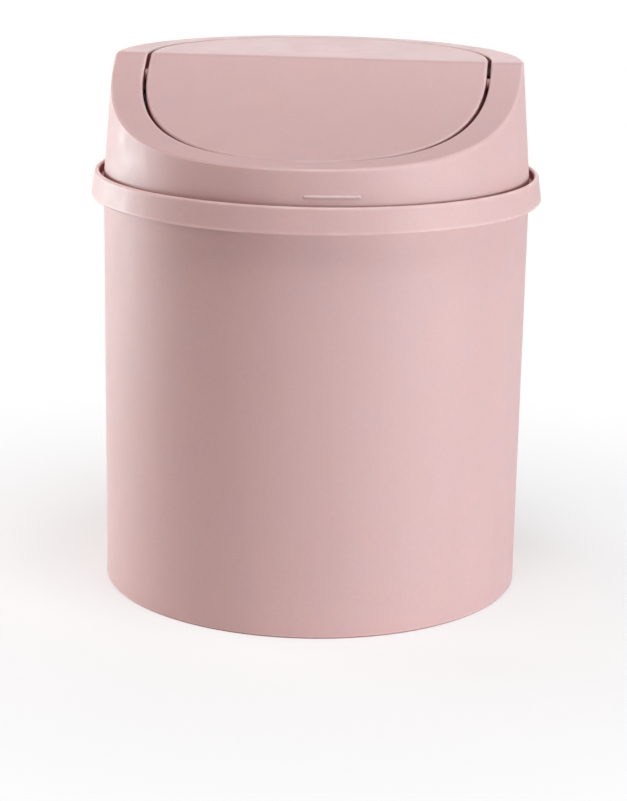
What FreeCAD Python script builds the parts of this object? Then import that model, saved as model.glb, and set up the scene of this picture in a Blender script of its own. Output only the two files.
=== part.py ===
import FreeCAD, Part
import math
import os

# Desktop waste bin with a lift-off hood and a push flap.
# Millimetres, +Z up, origin on the floor at the bucket's axis, front towards -Y, flap pivot along X.

# Bucket
NECK_RADIUS = 63.9          # outside of the wall just under the collar
WALL_DRAFT = 0.3            # how much narrower the wall is at the floor
BUCKET_WALL = 1.8
SEAT_HEIGHT = 123.6         # floor to the ledge that carries the hood
FLOOR_THICKNESS = 2.0
FOOT_HEIGHT = 1.5           # ring that the bucket stands on
FOOT_WIDTH = 3.0
FOOT_EDGE_BEVEL = 0.4
FLOOR_CORNER_BEVEL = 2.5

# Collar round the bucket's mouth
COLLAR_OVERHANG = 3.7       # lower edge beyond the neck
COLLAR_FLARE = 1.1          # lower edge beyond the lip
COLLAR_WALL = 1.3
COLLAR_DROP = 4.7           # lower edge below the seat
LIP_RISE = 2.9              # lip above the seat
SEAT_THICKNESS = 1.8
COLLAR_BEVEL = 0.4

# Hood
HOOD_HEIGHT = 36.4          # seat to the flat top
HOOD_TAPER = 3.1            # how much narrower the hood is at the top
HOOD_WALL = 1.8
SEAT_GROOVE = 1.3           # open groove between the hood's foot and the collar's lip
HOOD_EDGE_BEVEL = 0.6
PLUG_DEPTH = 8.0            # skirt that drops into the bucket's mouth
PLUG_WALL = 1.6
PLUG_CLEARANCE = 0.35

# Lid surface: flat at the back, a ridge, then a hollow sweep down to the front lip
RIDGE_OFFSET = 1.5          # ridge in front of the bucket's axis
RIDGE_ROUNDING = 3.0
FRONT_WALL_HEIGHT = 12.8    # seat to the front lip
SWEEP_RADIUS = 114.0

# Mouth of the hood, an oval in plan: two half ellipses with short straight sides between them
MOUTH_CENTRE_OFFSET = 5.6   # front ends of the straight sides, in front of the bucket's axis
MOUTH_STRAIGHT = 7.6        # length of the straight sides
EAR_WIDTH = 9.5             # rim left at each side
FRONT_RIM_WIDTH = 7.8       # rim left at the front
BACK_RIM_WIDTH = 6.1        # rim left at the back
MOUTH_FLANGE_WALL = 1.4
MOUTH_EDGE_BEVEL = 0.4
SHELF_REACH = 2.6           # closed stop, inwards from the mouth's edge
SHELF_THICKNESS = 1.5
SHELF_HALF_WIDTH = 32.0

# Flap
FLAP_SIDE_GAP = 1.1         # open gap at the flap's sides
FLAP_END_GAP = 0.6          # open gap at its front and back
FLAP_WALL = 1.8
FLAP_SKIRT_DEPTH = 4.0
FLAP_SKIRT_WALL = 1.4
FLAP_EDGE_BEVEL = 0.4
STOP_CLEARANCE = 0.3        # flap's back edge above its shelf

# Pivot
PIVOT_OFFSET = 4.0          # axis in front of the bucket's axis
PIVOT_DEPTH = 6.5           # axis below the flat top
STUB_RADIUS = 2.0
STUB_CLEARANCE = 0.1        # radial, in the cradle
STUB_END_GAP = 0.6
STUB_BEVEL = 0.5
CRADLE_THICKNESS = 4.4
CRADLE_WALL = 2.4           # round the stub
CRADLE_THROAT = 3.4         # snap opening, narrower than the stub
LUG_THICKNESS = 2.6
HEEL_CLEARANCE = 1.0        # finger outside the cradle
HEEL_WIDTH = 3.0
HEEL_REACH = 1.2            # past the mouth's edge, under the flange
HEEL_SPREAD = 24.0          # degrees
FLAP_TRAVEL = 75.0          # degrees, to the open stop
TRAVEL_MARGIN = 3.0         # degrees left before the heels touch

# Radii and heights that follow
base_radius = NECK_RADIUS - WALL_DRAFT
mouth_radius = NECK_RADIUS - BUCKET_WALL
collar_radius = NECK_RADIUS + COLLAR_OVERHANG
lip_radius = collar_radius - COLLAR_FLARE
lip_inner_radius = lip_radius - COLLAR_WALL
hood_foot_radius = lip_inner_radius - SEAT_GROOVE
hood_top_radius = hood_foot_radius - HOOD_TAPER
plug_radius = mouth_radius - PLUG_CLEARANCE
top_height = SEAT_HEIGHT + HOOD_HEIGHT
floor_top = FOOT_HEIGHT + FLOOR_THICKNESS
plug_bottom = SEAT_HEIGHT - PLUG_DEPTH
front_lip_radius = hood_foot_radius - HOOD_TAPER * FRONT_WALL_HEIGHT / HOOD_HEIGHT
mouth_half_width = hood_top_radius - EAR_WIDTH
mouth_front = front_lip_radius - FRONT_RIM_WIDTH - MOUTH_CENTRE_OFFSET
mouth_back = hood_top_radius - BACK_RIM_WIDTH + MOUTH_CENTRE_OFFSET - MOUTH_STRAIGHT
flap_half_width = mouth_half_width - FLAP_SIDE_GAP
flap_front = mouth_front - FLAP_END_GAP
flap_back = mouth_back - FLAP_END_GAP
mouth_oval = (mouth_half_width, mouth_front, mouth_back)
flap_oval = (flap_half_width, flap_front, flap_back)
shelf_top = top_height - FLAP_SKIRT_DEPTH - STOP_CLEARANCE
flange_depth = top_height - shelf_top + SHELF_THICKNESS
pivot_y = -PIVOT_OFFSET
pivot_z = top_height - PIVOT_DEPTH
cradle_radius = STUB_RADIUS + CRADLE_WALL
reach = 2 * collar_radius   # longer than any piece is wide

X_AXIS = FreeCAD.Vector(1, 0, 0)
Z_AXIS = FreeCAD.Vector(0, 0, 1)
ORIGIN = FreeCAD.Vector(0, 0, 0)
EDGE_TOLERANCE = 0.6        # how far a rounded ridge may be from the sharp one
LEAST_ROUNDING = 0.2        # of the ridge on the inner faces
LARGEST_BEVEL_SHARE = 0.4   # of the wall that a bevel is cut from


def profile_wire(corners):
    """Closed wire in the XZ plane through (radius, height, bevel) corners, each cut back by its bevel."""
    points = [FreeCAD.Vector(radius, 0, height) for radius, height, bevel in corners]
    outline = []
    for index, corner in enumerate(corners):
        here = points[index]
        bevel = corner[2]
        if bevel > 0:
            outline.append(here + (points[index - 1] - here).normalize() * bevel)
            outline.append(here + (points[(index + 1) % len(points)] - here).normalize() * bevel)
        else:
            outline.append(here)
    return Part.makePolygon(outline + outline[:1])


def revolved(corners):
    """Solid of revolution about the bin's axis, with its seam at the back."""
    solid = Part.Face(profile_wire(corners)).revolve(ORIGIN, Z_AXIS, 360)
    solid.rotate(ORIGIN, Z_AXIS, 90)
    return solid


def sharp(*points):
    return [(radius, height, 0) for radius, height in points]


def hood_radius_at(height):
    return hood_foot_radius - HOOD_TAPER * (height - SEAT_HEIGHT) / HOOD_HEIGHT


def sweep_centre():
    """Centre (y, z) of the hollow front sweep, through the ridge and the front lip."""
    lip_z = SEAT_HEIGHT + FRONT_WALL_HEIGHT
    ridge = FreeCAD.Vector(0, -RIDGE_OFFSET, top_height)
    lip = FreeCAD.Vector(0, -front_lip_radius, lip_z)
    chord = lip - ridge
    away = FreeCAD.Vector(0, chord.z, -chord.y).normalize()
    rise = math.sqrt(SWEEP_RADIUS ** 2 - (chord.Length / 2) ** 2)
    return ridge + chord / 2 + away * rise


def under_lid(depth):
    """Everything below the lid surface, with the surface moved square to itself by depth."""
    centre = sweep_centre()
    top = top_height - depth
    rounding = max(RIDGE_ROUNDING - depth, LEAST_ROUNDING)
    radius = SWEEP_RADIUS + depth
    drop = centre.z - top + rounding
    turn = FreeCAD.Vector(0, centre.y + math.sqrt((radius + rounding) ** 2 - drop ** 2), top - rounding)
    crest = turn + Z_AXIS * rounding
    towards = (centre - turn).normalize()
    shoulder = turn + towards * rounding
    crown = turn + (towards + Z_AXIS).normalize() * rounding
    trough = FreeCAD.Vector(0, centre.y, centre.z - radius)
    half_turn = math.atan2(shoulder.y - centre.y, centre.z - shoulder.z) / 2
    middle = centre + FreeCAD.Vector(0, math.sin(half_turn), -math.cos(half_turn)) * radius
    front = FreeCAD.Vector(0, -reach, trough.z)
    front_foot = FreeCAD.Vector(0, -reach, 0)
    back_foot = FreeCAD.Vector(0, reach, 0)
    back = FreeCAD.Vector(0, reach, top)
    wire = Part.Wire([
        Part.LineSegment(back_foot, back).toShape(),
        Part.LineSegment(back, crest).toShape(),
        Part.Arc(crest, crown, shoulder).toShape(),
        Part.Arc(shoulder, middle, trough).toShape(),
        Part.LineSegment(trough, front).toShape(),
        Part.LineSegment(front, front_foot).toShape(),
        Part.LineSegment(front_foot, back_foot).toShape(),
    ])
    side = Part.Face(wire)
    side.translate(X_AXIS * -reach)
    return side.extrude(X_AXIS * 2 * reach)


def lid_height_at(y):
    """Height of the lid surface, with its ridge left sharp."""
    centre = sweep_centre()
    if y > -RIDGE_OFFSET:
        return top_height
    return centre.z - math.sqrt(SWEEP_RADIUS ** 2 - (y - centre.y) ** 2)


def lowered(shape, drop):
    copy = shape.copy()
    copy.translate(Z_AXIS * -drop)
    return copy


def half_ellipse(half_width, depth, y):
    """Edge round one end of an oval, bulging along Y from the line at y by depth, which may be negative."""
    centre = FreeCAD.Vector(0, y, 0)
    side = centre + X_AXIS * half_width
    tip = FreeCAD.Vector(0, y + depth, 0)
    if half_width > abs(depth):
        return Part.ArcOfEllipse(Part.Ellipse(side, tip, centre), 0, math.pi).toShape()
    return Part.ArcOfEllipse(Part.Ellipse(tip, side, centre), -math.pi / 2, math.pi / 2).toShape()


def oval_column(oval, growth=0):
    """Upright column with the oval's section, grown all round, taller than the lid."""
    half_width, front, back = [size + growth for size in oval]
    front_y = -MOUTH_CENTRE_OFFSET
    back_y = front_y + MOUTH_STRAIGHT
    right = Part.LineSegment(FreeCAD.Vector(half_width, front_y, 0), FreeCAD.Vector(half_width, back_y, 0))
    left = Part.LineSegment(FreeCAD.Vector(-half_width, back_y, 0), FreeCAD.Vector(-half_width, front_y, 0))
    outline = Part.Wire([
        half_ellipse(half_width, -front, front_y),
        right.toShape(),
        half_ellipse(half_width, back, back_y),
        left.toShape(),
    ])
    return Part.Face(outline).extrude(Z_AXIS * 2 * top_height)


def box_between(low, high):
    size = high - low
    return Part.makeBox(size.x, size.y, size.z, low)


def behind(y):
    """All the space behind the upright plane at y."""
    return box_between(FreeCAD.Vector(-reach, y, 0), FreeCAD.Vector(reach, reach, 2 * top_height))


def both_sides(shape):
    """The shape on the +X side with its mirror image on the -X side."""
    return [shape, shape.mirror(ORIGIN, X_AXIS)]


def top_edges(shape, wall):
    """Edges where the lid surface meets the given upright or tapered wall."""
    chosen = []
    for edge in shape.Edges:
        middle = edge.valueAt((edge.FirstParameter + edge.LastParameter) / 2)
        on_lid = lid_height_at(middle.y) - middle.z < EDGE_TOLERANCE
        if on_lid and wall(middle) < EDGE_TOLERANCE:
            chosen.append(edge)
    return chosen


def off_hood_wall(point):
    return abs(math.hypot(point.x, point.y) - hood_radius_at(point.z))


def off_oval(oval):
    """Measure of how far a point is from an upright oval wall."""
    half_width, front, back = oval

    def distance(point):
        along = point.y + MOUTH_CENTRE_OFFSET
        beyond = min(along, 0) / front + max(along - MOUTH_STRAIGHT, 0) / back
        return abs(math.hypot(point.x / half_width, beyond) - 1) * min(oval)
    return distance


def pivot_lug(inner_x, outer_x, top):
    """Lug that hangs from the lid and ends in a half round about the pivot axis, on the +X side."""
    start = FreeCAD.Vector(inner_x, pivot_y, pivot_z)
    nose = Part.makeCylinder(cradle_radius, outer_x - inner_x, start, X_AXIS)
    low = FreeCAD.Vector(inner_x, pivot_y - cradle_radius, pivot_z)
    high = FreeCAD.Vector(outer_x, pivot_y + cradle_radius, top)
    return nose.fuse(box_between(low, high)).removeSplitter()


def make_bucket():
    web_bottom = SEAT_HEIGHT - SEAT_THICKNESS
    collar_bottom = SEAT_HEIGHT - COLLAR_DROP
    lip_top = SEAT_HEIGHT + LIP_RISE
    foot_inner = base_radius - FOOT_EDGE_BEVEL - FOOT_WIDTH
    bevel = min(COLLAR_BEVEL, LARGEST_BEVEL_SHARE * COLLAR_WALL)
    return revolved([
        (0, FOOT_HEIGHT, 0),
        (foot_inner, FOOT_HEIGHT, 0),
        (foot_inner, 0, 0),
        (base_radius, 0, FOOT_EDGE_BEVEL),
        (NECK_RADIUS, web_bottom, 0),
        (lip_inner_radius, web_bottom, 0),
        (collar_radius - COLLAR_WALL, collar_bottom, 0),
        (collar_radius, collar_bottom, bevel),
        (lip_radius, lip_top, bevel),
        (lip_inner_radius, lip_top, bevel),
        (lip_inner_radius, SEAT_HEIGHT, 0),
        (mouth_radius, SEAT_HEIGHT, 0),
        (base_radius - BUCKET_WALL, floor_top, FLOOR_CORNER_BEVEL),
        (0, floor_top, 0),
    ])


def hood_block():
    """Outside of the hood with its mouth cut through and its upper edges bevelled, still solid."""
    block = revolved(sharp(
        (0, plug_bottom),
        (plug_radius, plug_bottom),
        (plug_radius, SEAT_HEIGHT),
        (hood_foot_radius, SEAT_HEIGHT),
        (hood_top_radius, top_height),
        (0, top_height),
    )).common(under_lid(0))
    block = block.makeChamfer(HOOD_EDGE_BEVEL, top_edges(block, off_hood_wall))
    block = block.cut(oval_column(mouth_oval))
    return block.makeChamfer(MOUTH_EDGE_BEVEL, top_edges(block, off_oval(mouth_oval)))


def shelf_start():
    """Distance behind the axis where the shelf's ends meet the mouth's edge."""
    bulge = mouth_back * math.sqrt(1 - (SHELF_HALF_WIDTH / mouth_half_width) ** 2)
    return bulge + MOUTH_STRAIGHT - MOUTH_CENTRE_OFFSET


def mouth_flange():
    """Stiffening band under the mouth's edge, left off at the back where the shelf takes over."""
    band = oval_column(mouth_oval, MOUTH_FLANGE_WALL)
    band = band.cut(lowered(under_lid(0), flange_depth))
    return band.cut(behind(shelf_start() + MOUTH_FLANGE_WALL))


def hood_hollow():
    """Space inside the hood, round the mouth's flange and the two cradles."""
    step_top = SEAT_HEIGHT + HOOD_WALL
    plug_inner = plug_radius - PLUG_WALL
    hollow = revolved(sharp(
        (0, plug_bottom),
        (plug_inner, plug_bottom),
        (plug_inner, step_top),
        (hood_radius_at(step_top) - HOOD_WALL, step_top),
        (hood_top_radius - HOOD_WALL, top_height),
        (0, top_height),
    )).common(under_lid(HOOD_WALL))
    cradle = pivot_lug(flap_half_width, mouth_half_width + CRADLE_THICKNESS, top_height)
    return hollow.cut([mouth_flange()] + both_sides(cradle))


def closed_stop_shelf():
    """Crescent from the hood's back wall to under the flap's back edge."""
    wall_radius = hood_radius_at(shelf_top) - HOOD_WALL / 2
    disc = Part.makeCylinder(wall_radius, SHELF_THICKNESS, Z_AXIS * (shelf_top - SHELF_THICKNESS))
    disc = disc.cut(oval_column(mouth_oval, -SHELF_REACH))
    return disc.common(behind(shelf_start()))


def cradle_opening():
    """Bore for the stub axle and the snap throat below it, on the +X side."""
    start = FreeCAD.Vector(flap_half_width, pivot_y, pivot_z)
    length = FLAP_SIDE_GAP + CRADLE_THICKNESS + STUB_END_GAP
    bore = Part.makeCylinder(STUB_RADIUS + STUB_CLEARANCE, length, start, X_AXIS)
    low = start - FreeCAD.Vector(0, CRADLE_THROAT / 2, 2 * cradle_radius)
    high = start + FreeCAD.Vector(length, CRADLE_THROAT / 2, 0)
    return bore.fuse(box_between(low, high))


def make_hood():
    hood = hood_block().cut(hood_hollow())
    hood = hood.cut(both_sides(cradle_opening()))
    return hood.fuse(closed_stop_shelf()).removeSplitter()


def flap_panel():
    """Oval panel that follows the lid surface, with a short skirt round its edge."""
    panel = oval_column(flap_oval).common(under_lid(0))
    panel = panel.cut(lowered(under_lid(0), FLAP_SKIRT_DEPTH))
    panel = panel.makeChamfer(FLAP_EDGE_BEVEL, top_edges(panel, off_oval(flap_oval)))
    hollow = oval_column(flap_oval, -FLAP_SKIRT_WALL)
    return panel.cut(hollow.common(under_lid(FLAP_WALL)))


def pivot_sector(inner_x, outer_x, inner_radius, outer_radius, first_angle, spread):
    """Ring sector about the pivot axis, with angles in degrees from +Y towards +Z."""
    centre = FreeCAD.Vector(0, pivot_y, pivot_z)
    side = Part.Face(Part.makePolygon([
        centre + FreeCAD.Vector(inner_x, inner_radius, 0),
        centre + FreeCAD.Vector(outer_x, inner_radius, 0),
        centre + FreeCAD.Vector(outer_x, outer_radius, 0),
        centre + FreeCAD.Vector(inner_x, outer_radius, 0),
        centre + FreeCAD.Vector(inner_x, inner_radius, 0),
    ]))
    side.rotate(centre, X_AXIS, first_angle)
    return side.revolve(centre, X_AXIS, spread)


def open_stop_heel():
    """Arm below the lug with a finger that swings up against the mouth's flange, on the +X side."""
    inner_radius = cradle_radius + HEEL_CLEARANCE
    outer_radius = inner_radius + HEEL_WIDTH
    flange_bottom = top_height - flange_depth
    contact_angle = -math.degrees(math.asin((pivot_z - flange_bottom) / inner_radius))
    first_angle = contact_angle - FLAP_TRAVEL - TRAVEL_MARGIN - HEEL_SPREAD
    inner_x = flap_half_width - LUG_THICKNESS
    outer_x = mouth_half_width + HEEL_REACH
    arm = pivot_sector(inner_x, flap_half_width, STUB_RADIUS, outer_radius, first_angle, HEEL_SPREAD)
    finger = pivot_sector(inner_x, outer_x, inner_radius, outer_radius, first_angle, HEEL_SPREAD)
    return arm.fuse(finger)


def stub_axle():
    """Round axle that snaps into the hood's cradle, with a bevelled end, on the +X side."""
    start = FreeCAD.Vector(flap_half_width - LUG_THICKNESS, pivot_y, pivot_z)
    length = LUG_THICKNESS + FLAP_SIDE_GAP + CRADLE_THICKNESS - STUB_END_GAP
    shank = Part.makeCylinder(STUB_RADIUS, length - STUB_BEVEL, start, X_AXIS)
    tip_start = start + X_AXIS * (length - STUB_BEVEL)
    tip = Part.makeCone(STUB_RADIUS, STUB_RADIUS - STUB_BEVEL, STUB_BEVEL, tip_start, X_AXIS)
    return shank.fuse(tip)


def flap_pivot():
    """Lug, stub axle and stop heel, on the +X side."""
    lug = pivot_lug(flap_half_width - LUG_THICKNESS, flap_half_width, top_height)
    lug = lug.common(under_lid(FLAP_WALL / 2)).common(oval_column(flap_oval))
    return lug.fuse([stub_axle(), open_stop_heel()])


def make_flap():
    return flap_panel().fuse(both_sides(flap_pivot())).removeSplitter()


def main():
    os.makedirs("parts", exist_ok=True)
    make_bucket().exportStep("parts/bucket.step")
    make_hood().exportStep("parts/hood.step")
    make_flap().exportStep("parts/swing_flap.step")


if __name__ == "__main__":
    main()
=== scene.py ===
import math

import bmesh
import bpy
from mathutils import Matrix, Vector


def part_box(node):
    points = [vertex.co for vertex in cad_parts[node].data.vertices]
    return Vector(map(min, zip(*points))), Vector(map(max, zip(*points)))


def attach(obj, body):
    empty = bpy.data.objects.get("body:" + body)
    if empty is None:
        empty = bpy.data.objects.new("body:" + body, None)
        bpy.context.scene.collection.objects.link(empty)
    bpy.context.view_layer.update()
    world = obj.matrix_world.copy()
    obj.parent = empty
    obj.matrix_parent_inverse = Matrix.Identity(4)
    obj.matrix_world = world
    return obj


# Desktop waste bin of matt pink plastic: bucket, lift-off hood and push flap.
# Metres and degrees, +Z up, front towards -Y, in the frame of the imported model.
# An azimuth turns from the front towards +X.

# Camera at the photograph's angle
CAMERA_AZIMUTH = 6.01
CAMERA_ELEVATION = 14.99
CAMERA_ROLL = 0.99
CAMERA_DISTANCE = 0.7086
CAMERA_LENS = 103.0             # millimetres, as is the sensor's width
SENSOR_WIDTH = 36.0
AIM_HEIGHT = 0.05424
AIM_SIDE = 0.00022              # to the right of the bin's axis in the picture

# Plastic
PINK = (0.668, 0.432, 0.414)
WARM_TINT = (1.010, 0.992, 0.978)  # the cloudy tone lies between these two
COOL_TINT = (0.992, 0.994, 1.016)
CLOUD_SIZE = 0.012
CLOUD_DETAIL = 3
FLOW_SIZE = 0.010               # flow streaks across, longer upright
FLOW_STRETCH = 0.12
FLOW_DEPTH = 0.010
FLOW_DETAIL = 2
SPECK_SIZE = 0.0011
SPECK_DEPTH = 0.014
SPECK_DETAIL = 1
PLASTIC_IOR = 1.49
SPECULAR_LEVEL = 0.40
ROUGHNESS = 0.54
ROUGHNESS_SPREAD = 0.05
HAZE_SIZE = 0.006               # patches of unlike roughness
HAZE_DETAIL = 3
GLOW_SHARE = 0.15               # light that passes just below the surface
GLOW_REACH = 0.003
GLOW_COLOUR = (1.0, 0.45, 0.38)  # share of that reach for red, green and blue
NOISE_RANGE = (0.3, 0.7)        # where most values of a noise lie

# Edge wear with a painted edge highlight, and painted shade in grooves
EDGE_REACH = 0.0011             # how far wear and the painted edge highlight run in from an outer edge
EDGE_OPENNESS = (0.62, 0.97)    # of the plastic behind the surface, from worn and highlit to plain
EDGE_PATCH_SIZE = 0.009
EDGE_PATCH_DETAIL = 3
EDGE_PATCH_RANGE = (0.35, 0.65)  # values of the noise, from faint to full wear and highlight
EDGE_FAINT = 0.35
WEAR_AND_HIGHLIGHT_SHARE = 0.9
WEAR_POLISH = 0.08              # roughness that rubbing takes away
# paler edge colour: partly wear, partly a painted highlight along the edges
WORN_AND_HIGHLIGHT_TINT = (1.28, 1.42, 1.42)
EXPOSED_OPENNESS = (0.25, 0.60)    # of the surroundings, from sheltered edges to fully exposed ones
GROOVE_REACH = 0.009            # how far off a facing surface still closes a groove
SHADE_OPENNESS = (0.20, 0.48)  # of the surroundings, from full painted shade to none
# painted shade: the plastic's colour darkened in grooves, gaps and under overhangs
PAINTED_SHADE_SHARE = 0.9
PAINTED_SHADE_TINT = (0.60, 0.30, 0.28)
OPENNESS_SAMPLES = 8

# Relief of the surface
EASED_EDGE = 0.0004
EASED_SAMPLES = 6
WAVE_SIZE = 0.007
WAVE_HEIGHT = 0.00001
GRAIN_SIZE = 0.00045
GRAIN_HEIGHT = 0.000012
RELIEF_DETAIL = 2

# Lamps: azimuth, elevation, width, height, power in watts, colour
LAMPS = {
    "key_lamp": (62, 3, 0.55, 0.25, 8.2, (0.90, 1.00, 1.06)),
    "rim_lamp": (-110, 3, 0.50, 0.25, 9.4, (0.85, 1.00, 1.03)),
    "back_lamp": (186, 15, 0.60, 0.40, 1.6, (0.92, 1.00, 1.01)),
    "top_lamp": (15, 76, 0.50, 0.50, 7.8, (0.92, 1.00, 1.05)),
    "side_lamp": (-70, 32, 0.50, 0.50, 1.6, (1.00, 0.75, 0.66)),
}
LAMP_DISTANCE = 1.10
LAMP_AIM_HEIGHT = 0.08
FILL_LIGHT = (0.064, 0.036, 0.030)

# Low rounded rib moulded on the hood's front
RIB_AZIMUTH = 9.95              # of its middle
RIB_LENGTH = 0.016
RIB_HEIGHT = 0.00095
RIB_PROUD = 0.00025
RIB_RISE = 0.0024               # its middle, above the collar's lip
RIB_STEPS = 40
RIB_SIDES = 16
RIB_MERGE = RIB_PROUD / 1000    # points nearer than this become one, at the rib's ends
CAST_RADIUS = 0.2               # where the rays that find the hood's wall start

# Floor
FLOOR_HALF_SIZE = 4.0
FLOOR_LIT = (1.0, 0.955, 0.935)  # warm enough to look neutral in these lamps
FLOOR_BOUNCE = (0.95, 0.93, 0.92)
SHADOW_SHARE = 0.50             # how much of the floor's white answers to light near the bin
SHADOW_INNER = 0.07
SHADOW_OUTER = 0.24

# Plain values
UP = Vector((0, 0, 1))
WHITE = (1.0, 1.0, 1.0)
MIX_FIRST = 6                   # sockets of a Mix node that blends colours
MIX_SECOND = 7
MIX_RESULT = 2

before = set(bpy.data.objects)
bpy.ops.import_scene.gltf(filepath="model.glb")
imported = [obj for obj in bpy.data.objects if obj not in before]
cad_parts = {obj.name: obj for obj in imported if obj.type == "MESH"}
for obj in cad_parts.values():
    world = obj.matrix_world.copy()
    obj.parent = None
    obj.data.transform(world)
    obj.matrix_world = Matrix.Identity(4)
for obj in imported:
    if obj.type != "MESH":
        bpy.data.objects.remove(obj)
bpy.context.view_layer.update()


def direction(azimuth, elevation):
    """Unit vector from the bin towards a point seen at these angles."""
    turn = math.radians(azimuth)
    rise = math.radians(elevation)
    return Vector((math.sin(turn) * math.cos(rise), -math.cos(turn) * math.cos(rise), math.sin(rise)))


def show(name, data):
    """New object in the scene that holds this mesh, lamp or camera."""
    thing = bpy.data.objects.new(name, data)
    bpy.context.scene.collection.objects.link(thing)
    return thing


def make_camera():
    """Camera that frames the bin as the photograph does."""
    back = direction(CAMERA_AZIMUTH, CAMERA_ELEVATION)
    right = UP.cross(back).normalized()
    up = back.cross(right)
    roll = math.radians(CAMERA_ROLL)
    tilted_right = right * math.cos(roll) + up * math.sin(roll)
    tilted_up = up * math.cos(roll) - right * math.sin(roll)
    place = Matrix((tilted_right, tilted_up, back)).transposed().to_4x4()
    place.translation = UP * AIM_HEIGHT + right * AIM_SIDE + back * CAMERA_DISTANCE
    data = bpy.data.cameras.new("camera")
    data.lens = CAMERA_LENS
    data.sensor_width = SENSOR_WIDTH
    data.dof.use_dof = False
    camera = show("camera", data)
    camera.matrix_world = place
    bpy.context.scene.camera = camera


def make_lamp(name, azimuth, elevation, width, height, power, colour):
    """Rectangular soft lamp that faces the bin."""
    data = bpy.data.lights.new(name, "AREA")
    data.shape = "RECTANGLE"
    data.size = width
    data.size_y = height
    data.energy = power
    data.color = colour
    lamp = show(name, data)
    back = direction(azimuth, elevation)
    lamp.location = UP * LAMP_AIM_HEIGHT + back * LAMP_DISTANCE
    lamp.rotation_mode = "QUATERNION"
    lamp.rotation_quaternion = (-back).to_track_quat("-Z", "Y")


def new_material(name):
    """Material with an empty node tree, and the tree's nodes and links."""
    material = bpy.data.materials.new(name)
    material.use_nodes = True
    material.node_tree.nodes.clear()
    return material, material.node_tree.nodes, material.node_tree.links


def opaque(colour):
    """Colour with full alpha, as a colour socket takes it."""
    return (*colour, 1)


def tinted(colour, tint):
    """Colour times tint, channel by channel."""
    return tuple(channel * factor for channel, factor in zip(colour, tint))


def noise(nodes, links, place, feature_size, detail):
    """Noise from 0 to 1 about 0.5, with features of the given size in metres."""
    texture = nodes.new("ShaderNodeTexNoise")
    texture.inputs["Scale"].default_value = 1 / feature_size
    texture.inputs["Detail"].default_value = detail
    links.new(place, texture.inputs["Vector"])
    return texture.outputs["Fac"]


def remap(nodes, links, value, from_range, to_range, interpolation="LINEAR"):
    """Value moved from one range to another and held within it."""
    node = nodes.new("ShaderNodeMapRange")
    node.interpolation_type = interpolation
    node.inputs["From Min"].default_value = from_range[0]
    node.inputs["From Max"].default_value = from_range[1]
    node.inputs["To Min"].default_value = to_range[0]
    node.inputs["To Max"].default_value = to_range[1]
    links.new(value, node.inputs["Value"])
    return node.outputs["Result"]


def combine(nodes, links, operation, first, second):
    """Math on two sockets, or on a socket and a plain number."""
    node = nodes.new("ShaderNodeMath")
    node.operation = operation
    for socket, value in zip(node.inputs, (first, second)):
        if isinstance(value, (int, float)):
            socket.default_value = value
        else:
            links.new(value, socket)
    return node.outputs[0]


def blend_colours(nodes, links, share, first, second):
    """Mix of two colours, each a socket or a plain triple."""
    node = nodes.new("ShaderNodeMix")
    node.data_type = "RGBA"
    links.new(share, node.inputs["Factor"])
    for index, value in ((MIX_FIRST, first), (MIX_SECOND, second)):
        if isinstance(value, tuple):
            node.inputs[index].default_value = opaque(value)
        else:
            links.new(value, node.inputs[index])
    return node.outputs[MIX_RESULT]


def blend_shaders(nodes, links, share, first, second):
    """Mix of the shaders that two nodes give out."""
    node = nodes.new("ShaderNodeMixShader")
    links.new(share, node.inputs["Fac"])
    links.new(first.outputs[0], node.inputs[1])
    links.new(second.outputs[0], node.inputs[2])
    return node


def plain_shader(nodes, kind, colour):
    """Shader node of one even colour."""
    node = nodes.new(kind)
    node.inputs["Color"].default_value = opaque(colour)
    return node


def seen_directly(nodes, links):
    """1 where a camera, glossy or transmitted ray arrives, 0 for the light that falls on things."""
    rays = nodes.new("ShaderNodeLightPath").outputs
    shown = combine(nodes, links, "MAXIMUM", rays["Is Camera Ray"], rays["Is Glossy Ray"])
    return combine(nodes, links, "MAXIMUM", shown, rays["Is Transmission Ray"])


def make_world():
    """Faint warm fill light, behind a background that looks white."""
    world = bpy.data.worlds.new("studio")
    world.use_nodes = True
    bpy.context.scene.world = world
    nodes = world.node_tree.nodes
    links = world.node_tree.links
    nodes.clear()
    fill = plain_shader(nodes, "ShaderNodeBackground", FILL_LIGHT)
    white = plain_shader(nodes, "ShaderNodeBackground", WHITE)
    mix = blend_shaders(nodes, links, seen_directly(nodes, links), fill, white)
    output = nodes.new("ShaderNodeOutputWorld")
    links.new(mix.outputs[0], output.inputs["Surface"])


def floor_material():
    """White floor that keeps a soft shadow near the bin."""
    material, nodes, links = new_material("floor_white")
    reach = nodes.new("ShaderNodeVectorMath")
    reach.operation = "LENGTH"
    links.new(nodes.new("ShaderNodeTexCoord").outputs["Object"], reach.inputs[0])
    near = remap(nodes, links, reach.outputs["Value"], (SHADOW_INNER, SHADOW_OUTER), (SHADOW_SHARE, 0),
                 "SMOOTHSTEP")
    glow = plain_shader(nodes, "ShaderNodeEmission", WHITE)
    lit = plain_shader(nodes, "ShaderNodeBsdfDiffuse", FLOOR_LIT)
    bounce = plain_shader(nodes, "ShaderNodeBsdfDiffuse", FLOOR_BOUNCE)
    shown = blend_shaders(nodes, links, near, glow, lit)
    mix = blend_shaders(nodes, links, seen_directly(nodes, links), bounce, shown)
    output = nodes.new("ShaderNodeOutputMaterial")
    links.new(mix.outputs[0], output.inputs["Surface"])
    return material


def make_floor():
    """Wide flat floor under the bin."""
    mesh = bpy.data.meshes.new("floor")
    build = bmesh.new()
    bmesh.ops.create_grid(build, x_segments=1, y_segments=1, size=FLOOR_HALF_SIZE)
    build.to_mesh(mesh)
    build.free()
    mesh.materials.append(floor_material())
    floor = show("floor", mesh)


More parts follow.
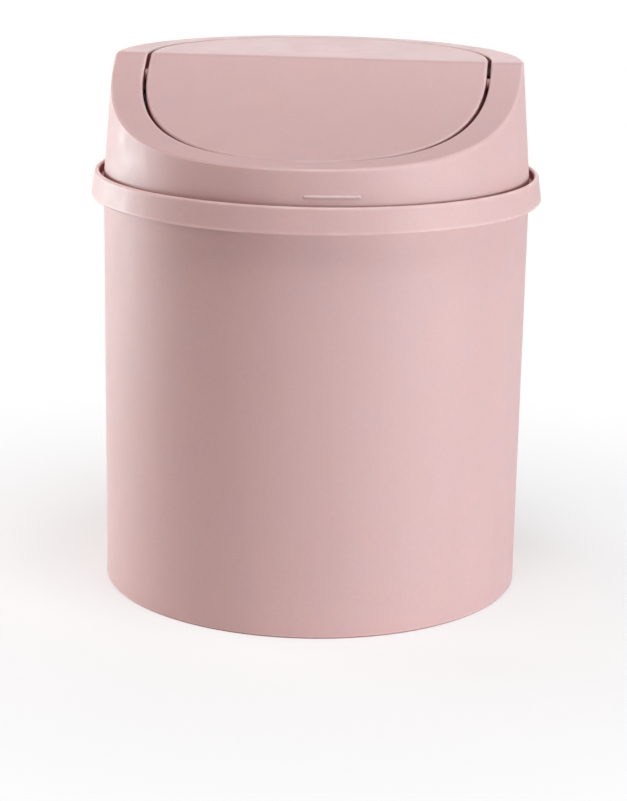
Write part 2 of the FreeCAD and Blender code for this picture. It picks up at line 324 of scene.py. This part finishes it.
def nearby_surface(nodes, distance, inside):
    """Share of the surroundings that is open within a distance, outside the plastic or inside it."""
    node = nodes.new("ShaderNodeAmbientOcclusion")
    node.samples = OPENNESS_SAMPLES
    node.inside = inside
    node.only_local = inside
    node.inputs["Distance"].default_value = distance
    return node.outputs["AO"]


def stretched_place(nodes, links, place):
    """Coordinates in which noise runs out into upright flow streaks."""
    node = nodes.new("ShaderNodeMapping")
    node.inputs["Scale"].default_value = (1, 1, FLOW_STRETCH)
    links.new(place, node.inputs["Vector"])
    return node.outputs["Vector"]


def edge_wear_and_highlight(nodes, links, place, openness):
    """1 on exposed outer edges, for wear and a painted edge highlight, broken up by noise, 0 on open faces
    and deep in gaps.
    """
    edges = remap(nodes, links, nearby_surface(nodes, EDGE_REACH, True), EDGE_OPENNESS, (1, 0))
    spread = noise(nodes, links, place, EDGE_PATCH_SIZE, EDGE_PATCH_DETAIL)
    patches = remap(nodes, links, spread, EDGE_PATCH_RANGE, (EDGE_FAINT, 1))
    reached = remap(nodes, links, openness, EXPOSED_OPENNESS, (0, 1))
    return combine(nodes, links, "MULTIPLY", combine(nodes, links, "MULTIPLY", edges, patches), reached)


def moulded_colour(nodes, links, place):
    """Pink with cloudy tone, upright flow streaks and fine specks."""
    clouds = noise(nodes, links, place, CLOUD_SIZE, CLOUD_DETAIL)
    streaks = noise(nodes, links, stretched_place(nodes, links, place), FLOW_SIZE, FLOW_DETAIL)
    specks = noise(nodes, links, place, SPECK_SIZE, SPECK_DETAIL)
    hue = blend_colours(nodes, links, remap(nodes, links, clouds, NOISE_RANGE, (0, 1)),
                        tinted(PINK, WARM_TINT), tinted(PINK, COOL_TINT))
    tone = combine(nodes, links, "ADD",
                   remap(nodes, links, streaks, NOISE_RANGE, (-FLOW_DEPTH, FLOW_DEPTH)),
                   remap(nodes, links, specks, NOISE_RANGE, (-SPECK_DEPTH, SPECK_DEPTH)))
    toned = nodes.new("ShaderNodeHueSaturation")
    links.new(hue, toned.inputs["Color"])
    links.new(combine(nodes, links, "ADD", tone, 1), toned.inputs["Value"])
    return toned.outputs["Color"]


def plastic_colour(nodes, links, place, openness, wear_and_highlight):
    """Colour of the moulded plastic, paler on edges for wear and a painted highlight, and darker in grooves
    and gaps as painted shade.
    """
    # paler edges: wear together with a painted edge highlight
    edge_amount = combine(nodes, links, "MULTIPLY", wear_and_highlight, WEAR_AND_HIGHLIGHT_SHARE)
    worn_and_highlit = blend_colours(nodes, links, edge_amount, moulded_colour(nodes, links, place), tinted(PINK, WORN_AND_HIGHLIGHT_TINT))
    # darker in grooves and between parts: painted shade
    painted_shade = remap(nodes, links, openness, SHADE_OPENNESS, (PAINTED_SHADE_SHARE, 0))
    return blend_colours(nodes, links, painted_shade, worn_and_highlit, tinted(PINK, PAINTED_SHADE_TINT))


def plastic_roughness(nodes, links, place, wear_and_highlight):
    """Matt with hazy patches, a little smoother where it is rubbed."""
    haze = noise(nodes, links, place, HAZE_SIZE, HAZE_DETAIL)
    spread = (ROUGHNESS - ROUGHNESS_SPREAD, ROUGHNESS + ROUGHNESS_SPREAD)
    dull = remap(nodes, links, haze, NOISE_RANGE, spread)
    edge_amount = combine(nodes, links, "MULTIPLY", wear_and_highlight, WEAR_POLISH)
    return combine(nodes, links, "SUBTRACT", dull, edge_amount)


def plastic_normal(nodes, links, place):
    """Edges eased by a hair, faint mould waviness and the fine grain of an eroded mould."""
    eased = nodes.new("ShaderNodeBevel")
    eased.samples = EASED_SAMPLES
    eased.inputs["Radius"].default_value = EASED_EDGE
    normal = eased.outputs["Normal"]
    for feature_size, height in ((WAVE_SIZE, WAVE_HEIGHT), (GRAIN_SIZE, GRAIN_HEIGHT)):
        bump = nodes.new("ShaderNodeBump")
        bump.inputs["Distance"].default_value = height
        links.new(noise(nodes, links, place, feature_size, RELIEF_DETAIL), bump.inputs["Height"])
        links.new(normal, bump.inputs["Normal"])
        normal = bump.outputs["Normal"]
    return normal


def pink_plastic():
    """Matt injection-moulded polypropylene."""
    material, nodes, links = new_material("matt_pink_plastic")
    place = nodes.new("ShaderNodeTexCoord").outputs["Object"]
    openness = nearby_surface(nodes, GROOVE_REACH, False)
    wear_and_highlight = edge_wear_and_highlight(nodes, links, place, openness)
    shader = nodes.new("ShaderNodeBsdfPrincipled")
    shader.inputs["IOR"].default_value = PLASTIC_IOR
    shader.inputs["Specular IOR Level"].default_value = SPECULAR_LEVEL
    shader.inputs["Subsurface Weight"].default_value = GLOW_SHARE
    shader.inputs["Subsurface Radius"].default_value = GLOW_COLOUR
    shader.inputs["Subsurface Scale"].default_value = GLOW_REACH
    links.new(plastic_colour(nodes, links, place, openness, wear_and_highlight), shader.inputs["Base Color"])
    links.new(plastic_roughness(nodes, links, place, wear_and_highlight), shader.inputs["Roughness"])
    links.new(plastic_normal(nodes, links, place), shader.inputs["Normal"])
    output = nodes.new("ShaderNodeOutputMaterial")
    links.new(shader.outputs[0], output.inputs["Surface"])
    return material


def dress_nodes(plastic):
    """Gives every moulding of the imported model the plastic."""
    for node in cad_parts.values():
        node.data.materials.clear()
        node.data.materials.append(plastic)


def hood_wall(azimuth, height):
    """Point on the hood's outer wall, and the wall's outward normal there."""
    outward = direction(azimuth, 0)
    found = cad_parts["hood"].ray_cast(outward * CAST_RADIUS + UP * height, -outward)
    return found[1], found[2]


def rib_ring(build, point, normal, swell):
    """Oval of points round the rib's line, sunk by half into the wall."""
    upward = (UP - normal * normal.z).normalized()
    ring = []
    for side in range(RIB_SIDES):
        turn = 2 * math.pi * side / RIB_SIDES
        proud = normal * (RIB_PROUD * math.cos(turn))
        rise = upward * (RIB_HEIGHT / 2 * math.sin(turn))
        ring.append(build.verts.new(point + (proud + rise) * swell))
    return ring


def rib_rings(build):
    """Rings from end to end of the rib, which follows the hood's wall and has rounded ends."""
    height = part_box("bucket")[1].z + RIB_RISE
    wall_radius = hood_wall(RIB_AZIMUTH, height)[0].xy.length
    half_length = RIB_LENGTH / 2
    half_angle = math.degrees(half_length / wall_radius)
    end_radius = RIB_HEIGHT / 2
    rings = []
    for step in range(RIB_STEPS + 1):
        along = -math.cos(math.pi * step / RIB_STEPS)
        past = max(abs(along) * half_length - (half_length - end_radius), 0) / end_radius
        swell = math.sqrt(max(1 - past ** 2, 0))
        point, normal = hood_wall(RIB_AZIMUTH + half_angle * along, height)
        rings.append(rib_ring(build, point, normal, swell))
    return rings


def make_rib(plastic):
    """Rib on the hood's front, as one closed mesh."""
    build = bmesh.new()
    rings = rib_rings(build)
    for ring, following in zip(rings, rings[1:]):
        for side in range(RIB_SIDES):
            beside = (side + 1) % RIB_SIDES
            build.faces.new((ring[side], ring[beside], following[beside], following[side]))
    bmesh.ops.remove_doubles(build, verts=build.verts[:], dist=RIB_MERGE)
    bmesh.ops.recalc_face_normals(build, faces=build.faces[:])
    for face in build.faces:
        face.smooth = True
    mesh = bpy.data.meshes.new("front_rib")
    build.to_mesh(mesh)
    build.free()
    mesh.materials.append(plastic)
    rib = show("front_rib", mesh)
    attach(rib, "hood")


bpy.context.scene.view_settings.view_transform = "Standard"
make_camera()
make_world()
for lamp_name, lamp_values in LAMPS.items():
    make_lamp(lamp_name, *lamp_values)
make_floor()
plastic = pink_plastic()
dress_nodes(plastic)
make_rib(plastic)
